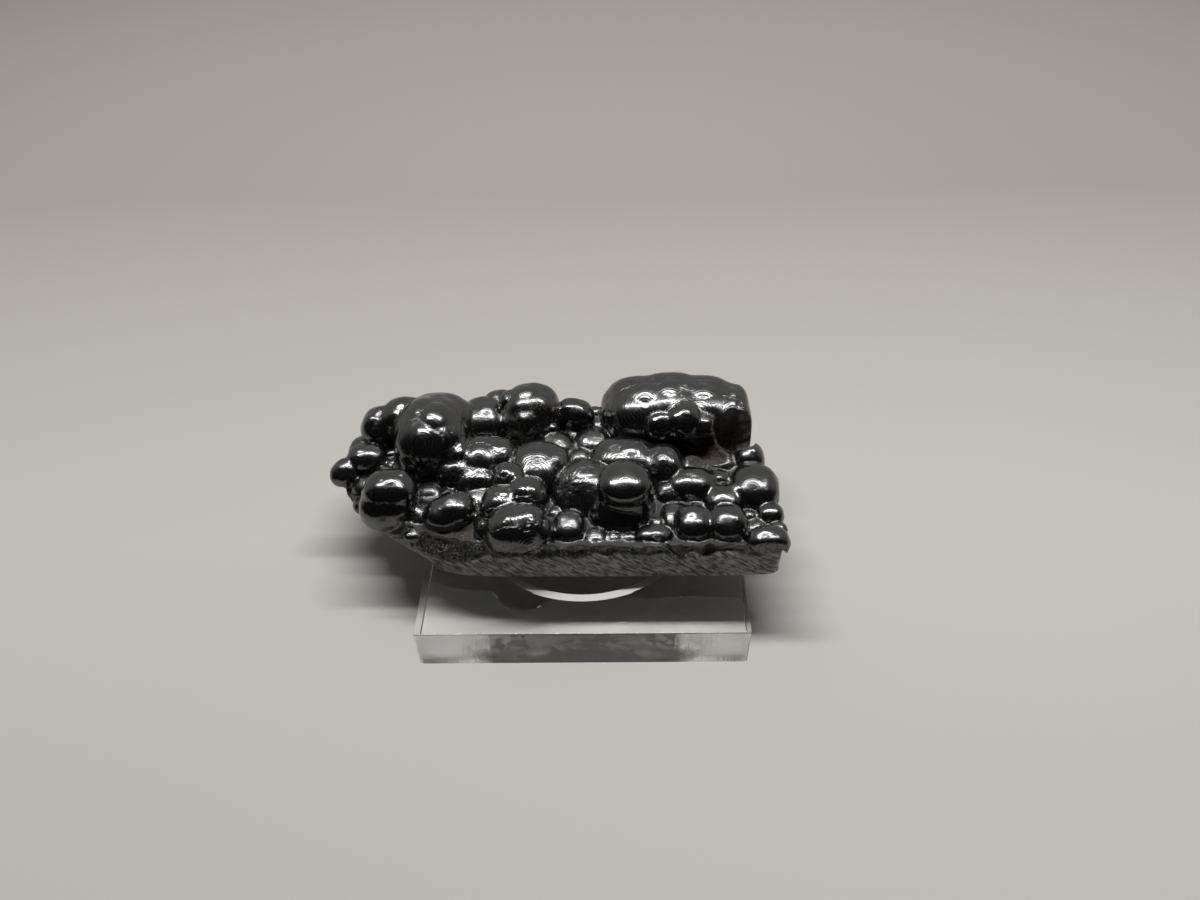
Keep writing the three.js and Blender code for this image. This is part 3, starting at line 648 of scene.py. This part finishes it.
def lobePhase(points, owner):
    # growth bands are counted out from the pole of each lump, or from the lower tip of each lobe
    phase = 0.7 * latticeNoise(points, 2.6, 9) + 0.25 * latticeNoise(points, 0.9, 10)
    for index, lump in enumerate(lumps):
        mine = np.nonzero(owner == index)[0]
        if not len(mine):
            continue
        near = points[mine] - lump["centre"]
        gaps = np.array([ballDistance(near, centre, sizes) for centre, sizes, _tip in lump["lobes"]])
        tips = np.array([tip for _centre, _sizes, tip in lump["lobes"]])[gaps.argmin(0)]
        tips = tips - 0.3 * lump["sizes"].min() * np.array([0.0, 0.7, 0.7])
        share = lump["scales"]
        pole = share * tips + (1.0 - share) * lump["pole"]
        phase[mine] += np.sqrt(((near - pole) ** 2).sum(1)) + lump["phase"]
    return phase


owned = np.maximum(parts["owner"], 0)
ringPhase = lobePhase(points, parts["owner"])
ringDepth = np.array([lump["ring"] for lump in lumps])[owned]
skinRough = np.array([lump["gloss"] for lump in lumps])[owned]
bullet = next(lump for lump in lumps if lump["region"] == bossRegion)
stack = smoothStep(0.35, 0.0, np.abs(terraceDistance(points)))
skinRough = skinRough + 0.06 * stack * smoothStep(0.15, 0.6, lumpDistance(points, bullet))
ringDepth = ringDepth * solid * smoothStep(0.35, 0.0, np.abs(parts["crust"]))

# breaks are rough: grain and short slanting strokes, cut into the stone and never proud of it
strokeX = points @ np.array([0.80, 0.0, -0.60])
strokeZ = points @ np.array([0.60, 0.0, 0.80])
strokes = latticeNoise(np.stack([strokeX / 2.2, points[:, 1] / 1.6, strokeZ / 0.75], 1), 1.0, 13)
grain = 0.35 * latticeNoise(points, 1.5, 11) + 0.2 * latticeNoise(points, 0.8, 12) + 0.45 * strokes
fibres = latticeNoise(points / np.array([0.8, 0.8, 5.0]), 1.0, 14)
shards = np.abs(latticeNoise(points, 1.9, 15) - 0.5) * 2.0
cut = breakMask * 0.45 * grain * (1.0 - 0.6 * bottomBreak)
cut = cut + sectionMask * (0.35 * fibres + 0.35 * shards) * (1.0 - splitMask)
cut = cut + hollowMask * 0.4 * shards + floorMask * 0.22 * latticeNoise(points, 1.0, 16)
ripple = 0.05 * (latticeNoise(points, 1.7, 18) - 0.5) * solid
points = points - normals * (cut + ripple)[:, None]


def meshFrom(name, points, faces):
    mesh = bpy.data.meshes.new(name)
    mesh.from_pydata((np.asarray(points) * mm).tolist(), [], np.asarray(faces).tolist())
    mesh.update()
    mesh.shade_smooth()
    thing = bpy.data.objects.new(name, mesh)
    bpy.context.scene.collection.objects.link(thing)
    return thing


def addAttribute(thing, name, values):
    layer = thing.data.attributes.new(name, "FLOAT", "POINT")
    layer.data.foreach_set("value", np.asarray(values, np.float32))


stone = meshFrom("hematite_stone", points, quads)
for name, values in {"ringPhase": ringPhase, "ringDepth": ringDepth, "breakMask": breakMask,
                     "sectionMask": sectionMask, "floorMask": floorMask, "hollowMask": hollowMask,
                     "crease": crease, "rust": rust, "skinRough": skinRough}.items():
    addAttribute(stone, name, values)


def geometryTree(name, inputs):
    tree = bpy.data.node_groups.new(name, "GeometryNodeTree")
    tree.interface.new_socket("Geometry", in_out="INPUT", socket_type="NodeSocketGeometry")
    for label, (kind, value) in inputs.items():
        socket = tree.interface.new_socket(label, in_out="INPUT", socket_type="NodeSocket" + kind)
        if value is not None:
            socket.default_value = value
    tree.interface.new_socket("Geometry", in_out="OUTPUT", socket_type="NodeSocketGeometry")
    return tree, tree.nodes.new("NodeGroupInput"), tree.nodes.new("NodeGroupOutput")


def mathNode(tree, operation, first, second=None, third=None):
    node = tree.nodes.new("ShaderNodeMath")
    node.operation = operation
    for socket, value in zip(node.inputs, (first, second, third)):
        if isinstance(value, (int, float)):
            socket.default_value = value
        elif value is not None:
            tree.links.new(value, socket)
    return node.outputs[0]


def namedValue(tree, name):
    node = tree.nodes.new("GeometryNodeInputNamedAttribute")
    node.data_type = "FLOAT"
    node.inputs["Name"].default_value = name
    return node.outputs["Attribute"]


def bakeNodes(thing, tree, values):
    # run the tree once with its inputs set by identifier, then keep the result as a plain mesh
    modifier = thing.modifiers.new(tree.name, "NODES")
    modifier.node_group = tree
    for item in tree.interface.items_tree:
        if item.item_type == "SOCKET" and item.in_out == "INPUT" and item.name in values:
            modifier[item.identifier] = values[item.name]
    bpy.context.view_layer.update()
    graph = bpy.context.evaluated_depsgraph_get()
    mesh = bpy.data.meshes.new_from_object(thing.evaluated_get(graph))
    thing.modifiers.clear()
    thing.data = mesh
    return thing


def growthRingTree():
    # terraces: the surface drops by a small step at each ring around a lump's pole
    tree, source, result = geometryTree("growthRings", {
        "Pitch": ("Float", 1.1), "Unevenness": ("Float", 0.3), "Material": ("Material", None)})
    phase = namedValue(tree, "ringPhase")
    uneven = tree.nodes.new("ShaderNodeTexNoise")
    uneven.inputs["Scale"].default_value = 700.0
    uneven.inputs["Detail"].default_value = 2.0
    position = tree.nodes.new("GeometryNodeInputPosition")
    tree.links.new(position.outputs[0], uneven.inputs["Vector"])
    shifted = mathNode(tree, "MULTIPLY_ADD", uneven.outputs[0], source.outputs["Unevenness"], phase)
    turns = mathNode(tree, "DIVIDE", shifted, source.outputs["Pitch"])
    wave = mathNode(tree, "COSINE", mathNode(tree, "MULTIPLY", turns, 2.0 * math.pi))
    drop = mathNode(tree, "MULTIPLY", mathNode(tree, "SUBTRACT", wave, 1.0), namedValue(tree, "ringDepth"))
    normal = tree.nodes.new("GeometryNodeInputNormal")
    scaled = tree.nodes.new("ShaderNodeVectorMath")
    scaled.operation = "SCALE"
    tree.links.new(normal.outputs[0], scaled.inputs[0])
    tree.links.new(mathNode(tree, "MULTIPLY", drop, mm), scaled.inputs["Scale"])
    place = tree.nodes.new("GeometryNodeSetPosition")
    tree.links.new(source.outputs["Geometry"], place.inputs["Geometry"])
    tree.links.new(scaled.outputs[0], place.inputs["Offset"])
    real = tree.nodes.new("GeometryNodeRealizeInstances")
    tree.links.new(place.outputs[0], real.inputs[0])
    finish = tree.nodes.new("GeometryNodeSetMaterial")
    tree.links.new(real.outputs[0], finish.inputs["Geometry"])
    tree.links.new(source.outputs["Material"], finish.inputs["Material"])
    tree.links.new(finish.outputs[0], result.inputs[0])
    return tree


def newMaterial(name):
    material = bpy.data.materials.new(name)
    material.use_nodes = True
    tree = material.node_tree
    tree.nodes.clear()
    shader = tree.nodes.new("ShaderNodeBsdfPrincipled")
    output = tree.nodes.new("ShaderNodeOutputMaterial")
    tree.links.new(shader.outputs[0], output.inputs["Surface"])
    return material, tree, shader


def attributeNode(tree, name):
    node = tree.nodes.new("ShaderNodeAttribute")
    node.attribute_name = name
    return node.outputs["Fac"]


def noiseNode(tree, scale, detail=3.0, roughness=0.55, vector=None):
    node = tree.nodes.new("ShaderNodeTexNoise")
    node.inputs["Scale"].default_value = scale
    node.inputs["Detail"].default_value = detail
    node.inputs["Roughness"].default_value = roughness
    if vector is None:
        vector = tree.nodes.new("ShaderNodeTexCoord").outputs["Object"]
    tree.links.new(vector, node.inputs["Vector"])
    return node.outputs["Fac"]


def mixColour(tree, share, first, second):
    node = tree.nodes.new("ShaderNodeMix")
    node.data_type = "RGBA"
    tree.links.new(share, node.inputs["Factor"])
    for socket, value in ((node.inputs[6], first), (node.inputs[7], second)):
        if isinstance(value, tuple):
            socket.default_value = (*value, 1.0)
        else:
            tree.links.new(value, socket)
    return node.outputs[2]


def rangeNode(tree, value, fromLow, fromHigh, toLow, toHigh):
    node = tree.nodes.new("ShaderNodeMapRange")
    tree.links.new(value, node.inputs["Value"])
    limits = {"From Min": fromLow, "From Max": fromHigh, "To Min": toLow, "To Max": toHigh}
    for key, number in limits.items():
        node.inputs[key].default_value = number
    return node.outputs["Result"]


def blendValue(tree, share, first, second):
    node = tree.nodes.new("ShaderNodeMix")
    tree.links.new(share, node.inputs[0])
    for socket, value in ((node.inputs[2], first), (node.inputs[3], second)):
        if isinstance(value, (int, float)):
            socket.default_value = value
        else:
            tree.links.new(value, socket)
    return node.outputs[0]


def stretched(tree, scale, turn=(0.0, 0.0, 0.0)):
    # object coordinates turned, then stretched, for strokes and fibres
    turned = tree.nodes.new("ShaderNodeVectorRotate")
    turned.rotation_type = "EULER_XYZ"
    turned.inputs["Rotation"].default_value = turn
    tree.links.new(tree.nodes.new("ShaderNodeTexCoord").outputs["Object"], turned.inputs["Vector"])
    scaled = tree.nodes.new("ShaderNodeVectorMath")
    scaled.operation = "MULTIPLY"
    scaled.inputs[1].default_value = scale
    tree.links.new(turned.outputs[0], scaled.inputs[0])
    return scaled.outputs[0]


def dustGroup():
    # ochre dust and grains: used by the stone, thickest in its creases and rusty places
    tree = bpy.data.node_groups.new("ochre dust", "ShaderNodeTree")
    tree.interface.new_socket("Amount", in_out="INPUT", socket_type="NodeSocketFloat")
    tree.interface.new_socket("Colour", in_out="OUTPUT", socket_type="NodeSocketColor")
    tree.interface.new_socket("Mask", in_out="OUTPUT", socket_type="NodeSocketFloat")
    source, result = tree.nodes.new("NodeGroupInput"), tree.nodes.new("NodeGroupOutput")
    tone = rangeNode(tree, noiseNode(tree, 900.0, 3.0), 0.4, 0.62, 0.0, 1.0)
    colour = mixColour(tree, tone, (0.055, 0.028, 0.014), (0.24, 0.145, 0.055))
    speck = rangeNode(tree, noiseNode(tree, 2300.0, 2.0), 0.56, 0.66, 0.0, 1.0)
    tree.links.new(colour, result.inputs["Colour"])
    tree.links.new(mathNode(tree, "MULTIPLY", speck, source.outputs["Amount"]), result.inputs["Mask"])
    return tree


hematiteFinish = {
    "black": (0.002, 0.002, 0.0022),
    "blackLight": (0.004, 0.004, 0.0042),
    "ringLight": (0.042, 0.042, 0.038),
    # break: partly the paler grey of the fresh breaks, partly painted light, lifted for front faces that
    # the scene leaves in shade
    "break": (0.38, 0.377, 0.365),
    "breakDark": (0.020, 0.020, 0.019),
    "section": (0.010, 0.009, 0.009),
    "sectionLight": (0.050, 0.048, 0.046),
    "floor": (0.016, 0.016, 0.013),
    "floorDark": (0.003, 0.003, 0.003),
    "rust": (0.022, 0.011, 0.006),
    "hollow": (0.075, 0.070, 0.062),
    "floorGloss": 0.82,
    "matt": 0.62,
    "pitch": 0.62,
    "index": 2.0,
    "ringRelief": 0.000006,
}


def hematiteMaterial():
    material, tree, shader = newMaterial("hematite crust and breaks")
    look = hematiteFinish
    broken, section = attributeNode(tree, "breakMask"), attributeNode(tree, "sectionMask")
    dusty, rusty = attributeNode(tree, "floorMask"), attributeNode(tree, "rust")
    hollow = attributeNode(tree, "hollowMask")
    # glossy crust: near black, with faint paler growth bands
    mottle = rangeNode(tree, noiseNode(tree, 260.0, 4.0), 0.35, 0.65, 0.0, 1.0)
    colour = mixColour(tree, mottle, look["black"], look["blackLight"])
    phase = mathNode(tree, "MULTIPLY", attributeNode(tree, "ringPhase"), 2.0 * math.pi / look["pitch"])
    wave = mathNode(tree, "SINE", phase)
    ringed = rangeNode(tree, attributeNode(tree, "ringDepth"), 0.0, 0.009, 0.0, 1.0)
    fade = rangeNode(tree, noiseNode(tree, 300.0, 2.0), 0.38, 0.62, 0.3, 1.0)
    band = rangeNode(tree, wave, 0.2, 0.95, 0.0, 1.0)
    band = mathNode(tree, "MULTIPLY", band, mathNode(tree, "MULTIPLY", ringed, fade))
    colour = mixColour(tree, mathNode(tree, "MULTIPLY", band, 0.8), colour, look["ringLight"])
    # dusty floor between the lumps, and the rusty places
    dull = rangeNode(tree, noiseNode(tree, 1100.0, 4.0, 0.65), 0.35, 0.65, 0.0, 1.0)
    colour = mixColour(tree, dusty, colour, mixColour(tree, dull, look["floorDark"], look["floor"]))
    colour = mixColour(tree, hollow, colour, look["hollow"])
    brown = rangeNode(tree, rusty, 0.1, 0.6, 0.0, 1.0)
    brown = mathNode(tree, "MULTIPLY", brown, rangeNode(tree, dull, 0.0, 1.0, 0.7, 1.0))
    colour = mixColour(tree, brown, colour, look["rust"])
    # the broken band, its pale grey partly the stone's own and partly painted light for the shaded front,
    # and the fibrous section above it
    strokes = noiseNode(tree, 1.0, 4.0, 0.6, stretched(tree, (500.0, 700.0, 2000.0), (0.0, -0.64, 0.0)))
    patch = rangeNode(tree, strokes, 0.41, 0.61, 0.0, 1.0)
    colour = mixColour(tree, broken, colour, mixColour(tree, patch, look["breakDark"], look["break"]))
    lines = noiseNode(tree, 1.0, 3.0, 0.6, stretched(tree, (2600.0, 2600.0, 260.0)))
    lines = rangeNode(tree, lines, 0.52, 0.68, 0.0, 1.0)
    colour = mixColour(tree, section, colour, mixColour(tree, lines, look["section"], look["sectionLight"]))
    dust = tree.nodes.new("ShaderNodeGroup")
    dust.node_tree = dustNodes
    amount = mathNode(tree, "MULTIPLY", attributeNode(tree, "crease"), 0.5)
    amount = mathNode(tree, "MAXIMUM", amount, rusty)
    tree.links.new(amount, dust.inputs["Amount"])
    colour = mixColour(tree, dust.outputs["Mask"], colour, dust.outputs["Colour"])
    tree.links.new(colour, shader.inputs["Base Color"])
    # gloss
    wear = rangeNode(tree, noiseNode(tree, 420.0, 3.0), 0.3, 0.7, -0.06, 0.03)
    sheen = mathNode(tree, "ADD", attributeNode(tree, "skinRough"), wear)
    rough = blendValue(tree, dusty, sheen, look["floorGloss"])
    rough = blendValue(tree, hollow, rough, 0.5)
    rough = blendValue(tree, section, rough, 0.30)
    rough = blendValue(tree, rangeNode(tree, rusty, 0.1, 0.5, 0.0, 1.0), rough, 0.95)
    rough = blendValue(tree, broken, rough, look["matt"])
    rough = blendValue(tree, dust.outputs["Mask"], rough, 0.8)
    tree.links.new(rough, shader.inputs["Roughness"])
    shader.inputs["IOR"].default_value = look["index"]
    # relief too fine for the mesh
    coarse = mathNode(tree, "MULTIPLY", strokes, broken)
    threads = mathNode(tree, "MULTIPLY", lines, mathNode(tree, "MULTIPLY", section, 0.6))
    pitted = mathNode(tree, "MAXIMUM", dusty, hollow)
    pits = mathNode(tree, "MULTIPLY", noiseNode(tree, 1500.0, 4.0, 0.6), pitted)
    height = mathNode(tree, "ADD", mathNode(tree, "ADD", coarse, threads), pits)
    grit = tree.nodes.new("ShaderNodeBump")
    grit.inputs["Distance"].default_value = 0.0003
    tree.links.new(height, grit.inputs["Height"])
    rings = tree.nodes.new("ShaderNodeBump")
    rings.inputs["Distance"].default_value = look["ringRelief"]
    ringHeight = mathNode(tree, "MULTIPLY", wave, mathNode(tree, "ADD", ringed, 0.25))
    tree.links.new(ringHeight, rings.inputs["Height"])
    tree.links.new(grit.outputs[0], rings.inputs["Normal"])
    skin = tree.nodes.new("ShaderNodeBump")
    skin.inputs["Distance"].default_value = 0.000022
    tree.links.new(noiseNode(tree, 1100.0, 4.0), skin.inputs["Height"])
    tree.links.new(rings.outputs[0], skin.inputs["Normal"])
    tree.links.new(skin.outputs[0], shader.inputs["Normal"])
    return material


dustNodes = dustGroup()
hematite = hematiteMaterial()
bakeNodes(stone, growthRingTree(), {"Pitch": 1.5, "Unevenness": 0.4, "Material": hematite})
print("stone: growth rings cut", len(stone.data.polygons))
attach(stone, "root")
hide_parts("hematite_specimen")

# the clear slab: one surface from the middle of the dish over the edge to the middle of the underside
slab = {
    "width": 63.5, "height": 9.5, "corner": 0.6, "edge": 0.18, "hold": 0.05,
    "dishRadius": 24.0, "dishDepth": 3.0, "rimRound": 0.35, "sideSteps": 40, "cornerSteps": 4,
    "groundFrom": 22.2, "groundTo": 24.1,
}


def squareLoop(inset):
    half, corner = slab["width"] / 2 - inset, slab["corner"]
    loop = []
    for quarter in range(4):
        turn = quarter * math.pi / 2
        spin = Matrix.Rotation(turn, 2)
        side = [(half, (half - corner) * (2 * i / slab["sideSteps"] - 1)) for i in range(slab["sideSteps"])]
        bend = [(half - corner + corner * math.cos(a), half - corner + corner * math.sin(a))
                for a in (math.pi / 2 * i / slab["cornerSteps"] for i in range(slab["cornerSteps"]))]
        loop += [tuple(spin @ Vector(p)) for p in side + bend]
    return np.array(loop)


def slabMesh():
    outer = squareLoop(0.0)
    angles = np.arctan2(outer[:, 1], outer[:, 0])
    circle = np.stack([np.cos(angles), np.sin(angles)], 1)
    height, radius, depth = slab["height"], slab["dishRadius"], slab["dishDepth"]
    ball = (radius ** 2 + depth ** 2) / (2 * depth)
    rings = []
    for i in range(1, 33):
        r = (radius - slab["rimRound"]) * i / 32
        rings.append((circle * r, height - depth + ball - math.sqrt(ball ** 2 - r ** 2)))
    lipZ = rings[-1][1]
    for i in (1, 2, 3):
        share = i / 3
        rings.append((circle * (radius - slab["rimRound"] * (1 - share)),
                      lipZ + (height - lipZ) * (1 - (1 - share) ** 2)))
    flat = squareLoop(slab["edge"] + slab["hold"])
    for share in (0.02, 0.3, 0.65, 1.0):
        rings.append((circle * radius * (1 - share) + flat * share, height))
    for angle in (0, 30, 60, 90):
        a = math.radians(angle)
        rings.append((squareLoop(slab["edge"] * (1 - math.sin(a))),
                      height - slab["edge"] * (1 - math.cos(a))))
    for z in (height - slab["edge"] - slab["hold"], height / 2, slab["edge"] + slab["hold"]):
        rings.append((outer, z))
    for angle in (90, 60, 30, 0):
        a = math.radians(angle)
        rings.append((squareLoop(slab["edge"] * (1 - math.sin(a))), slab["edge"] * (1 - math.cos(a))))
    for share in (1.0, 0.6, 0.2):
        rings.append((flat * share, 0.0))
    count = len(outer)
    points = [(0.0, 0.0, height - depth)]
    for ring, z in rings:
        points += [(x, y, z) for x, y in ring]
    points.append((0.0, 0.0, 0.0))
    faces = [(0, 1 + i, 1 + (i + 1) % count) for i in range(count)]
    for level in range(len(rings) - 1):
        start = 1 + level * count
        faces += [(start + i, start + count + i, start + count + (i + 1) % count, start + (i + 1) % count)
                  for i in range(count)]
    last, end = 1 + (len(rings) - 1) * count, len(points) - 1
    faces += [(last + i, end, last + (i + 1) % count) for i in range(count)]
    return points, faces


# through: how clear, rough: how frosted, marks: depth of the saw marks in metres, paintedShade: how dark
# the painted shade of the stone seen through the middle of each side is
acrylicFinishes = {
    "polished acrylic": {"through": 1.0, "rough": 0.02, "index": 1.49, "marks": 0.0, "paintedShade": 0.0,
                         "tint": (0.985, 0.99, 0.99)},
    "sawn acrylic": {"through": 1.0, "rough": 0.10, "index": 1.9, "marks": 0.00006, "paintedShade": 1.0,
                      "tint": (1.0, 0.99, 0.96)},
    "ground acrylic": {"through": 0.2, "rough": 0.60, "index": 1.49, "marks": 0.00002, "paintedShade": 0.0,
                       "tint": (0.90, 0.89, 0.84)},
}


def acrylicMaterial(name):
    material, tree, shader = newMaterial(name)
    look = acrylicFinishes[name]
    marks = noiseNode(tree, 1.0, 4.0, 0.65, stretched(tree, (2600.0, 2600.0, 60.0)))
    streak = rangeNode(tree, marks, 0.35, 0.65, 0.0, 1.0)
    dull = tuple(0.94 * part for part in look["tint"])
    shader.inputs["Transmission Weight"].default_value = look["through"]
    shader.inputs["IOR"].default_value = look["index"]
    shader.inputs["Roughness"].default_value = look["rough"]
    if look["marks"] == 0.0:
        shader.inputs["Base Color"].default_value = (*look["tint"], 1.0)
        return material
    colour = mixColour(tree, streak, look["tint"], dull)
    if look["paintedShade"] > 0.0:
        # painted shade: the dark stone seen through each side is painted as a dark patch in its middle,
        # broken up by the saw marks
        spot = tree.nodes.new("ShaderNodeSeparateXYZ")
        tree.links.new(tree.nodes.new("ShaderNodeTexCoord").outputs["Object"], spot.inputs[0])
        acrossX = mathNode(tree, "ABSOLUTE", spot.outputs["X"])
        acrossY = mathNode(tree, "ABSOLUTE", spot.outputs["Y"])
        nearer = mathNode(tree, "MINIMUM", acrossX, acrossY)
        frayed = mathNode(tree, "ADD", nearer, mathNode(tree, "MULTIPLY", marks, 0.006))
        middle = rangeNode(tree, frayed, 0.0222, 0.0206, 0.0, 1.0)
        cloud = rangeNode(tree, noiseNode(tree, 330.0, 4.0, 0.6), 0.42, 0.58, 1.0, 0.80)
        amount = mathNode(tree, "MULTIPLY", mathNode(tree, "MULTIPLY", middle, cloud), look["paintedShade"])
        colour = mixColour(tree, amount, colour, (0.004, 0.004, 0.004))
    tree.links.new(colour, shader.inputs["Base Color"])
    saw = tree.nodes.new("ShaderNodeBump")
    saw.inputs["Distance"].default_value = look["marks"]
    tree.links.new(marks, saw.inputs["Height"])
    tree.links.new(saw.outputs[0], shader.inputs["Normal"])
    return material


slabPoints, slabFaces = slabMesh()
clearSlab = bpy.data.objects.new("clear_slab", bpy.data.meshes.new("clear_slab"))
clearSlab.data.from_pydata([tuple(c * mm for c in p) for p in slabPoints], [], slabFaces)
clearSlab.data.update()
clearSlab.data.shade_smooth()
bpy.context.scene.collection.objects.link(clearSlab)
for name in acrylicFinishes:
    clearSlab.data.materials.append(acrylicMaterial(name))
for face in clearSlab.data.polygons:
    x, y, z = face.center / mm
    if max(abs(x), abs(y)) > slab["width"] / 2 - 0.12:
        face.material_index = 1
    elif z > slab["height"] / 2 and slab["groundFrom"] < math.hypot(x, y) < slab["groundTo"]:
        face.material_index = 2
clearSlab.visible_shadow = False
clearSlab.visible_diffuse = False
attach(clearSlab, "root")
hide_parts("acrylic_stand")
print("stand: slab made")


# floor, camera and light
def floorMaterial():
    material, tree, shader = newMaterial("pale floor")
    spot = tree.nodes.new("ShaderNodeTexCoord")
    parts = tree.nodes.new("ShaderNodeSeparateXYZ")
    tree.links.new(spot.outputs["Object"], parts.inputs[0])
    # painted shade: the floor's colour darkens towards the back and is a little lighter on the right, for
    # the way the light falls on it
    depth = rangeNode(tree, parts.outputs["Y"], 0.0, 0.16, 0.0, 1.0)
    side = rangeNode(tree, parts.outputs["X"], -0.08, 0.10, 0.0, 1.0)
    near = mixColour(tree, side, (0.62, 0.605, 0.57), (0.66, 0.645, 0.61))
    tree.links.new(mixColour(tree, depth, near, (0.40, 0.375, 0.32)), shader.inputs["Base Color"])
    shader.inputs["Roughness"].default_value = 0.8
    return material


bpy.ops.mesh.primitive_plane_add(size=8.0, location=(0.0, 0.0, -0.0002))
floor = bpy.context.object
floor.name = "floor"
floor.data.materials.append(floorMaterial())

view = {
    "place": (0.006913, -0.130963, 0.149789),
    "ahead": (-0.01856098, 0.72901077, -0.68425053),
    "right": (0.99976909, 0.00612054, -0.02059882),
    "up": (0.01082878, 0.68447486, 0.72895604),
    "lens": 27.03,
}
camera = bpy.data.objects.new("camera", bpy.data.cameras.new("camera"))
bpy.context.scene.collection.objects.link(camera)
camera.data.sensor_width = 36.0
camera.data.lens = view["lens"]
camera.data.clip_start = 0.005
axesOfView = (view["right"], view["up"], tuple(-c for c in view["ahead"]))
camera.matrix_world = Matrix.Translation(view["place"]) @ Matrix(axesOfView).transposed().to_4x4()
bpy.context.scene.camera = camera

lamps = {
    "strip": {"place": (0.0, 0.266, 0.651), "tilt": -24.0, "size": (0.75, 0.05), "power": 4.57},
}
for name, lamp in lamps.items():
    light = bpy.data.lights.new(name, "AREA")
    light.shape = "RECTANGLE"
    light.size, light.size_y = lamp["size"]
    light.energy = lamp["power"]
    thing = bpy.data.objects.new(name, light)
    thing.location = lamp["place"]
    thing.rotation_euler = (math.radians(lamp["tilt"]), 0.0, 0.0)
    bpy.context.scene.collection.objects.link(thing)

world = bpy.data.worlds.new("studio")
bpy.context.scene.world = world
world.use_nodes = True
sky = world.node_tree
sky.nodes.clear()
direction = sky.nodes.new("ShaderNodeTexCoord")
split = sky.nodes.new("ShaderNodeSeparateXYZ")
sky.links.new(direction.outputs["Generated"], split.inputs[0])
behind = rangeNode(sky, split.outputs["Y"], 0.1, 0.45, 0.0, 1.0)
tone = mixColour(sky, behind, (0.01, 0.01, 0.01), (0.36, 0.357, 0.343))
path = sky.nodes.new("ShaderNodeLightPath")
seen = mixColour(sky, path.outputs["Is Camera Ray"], tone, (0.40, 0.385, 0.35))
back = sky.nodes.new("ShaderNodeBackground")
sky.links.new(seen, back.inputs["Color"])
out = sky.nodes.new("ShaderNodeOutputWorld")
sky.links.new(back.outputs[0], out.inputs["Surface"])
bpy.context.scene.view_settings.view_transform = "Standard"
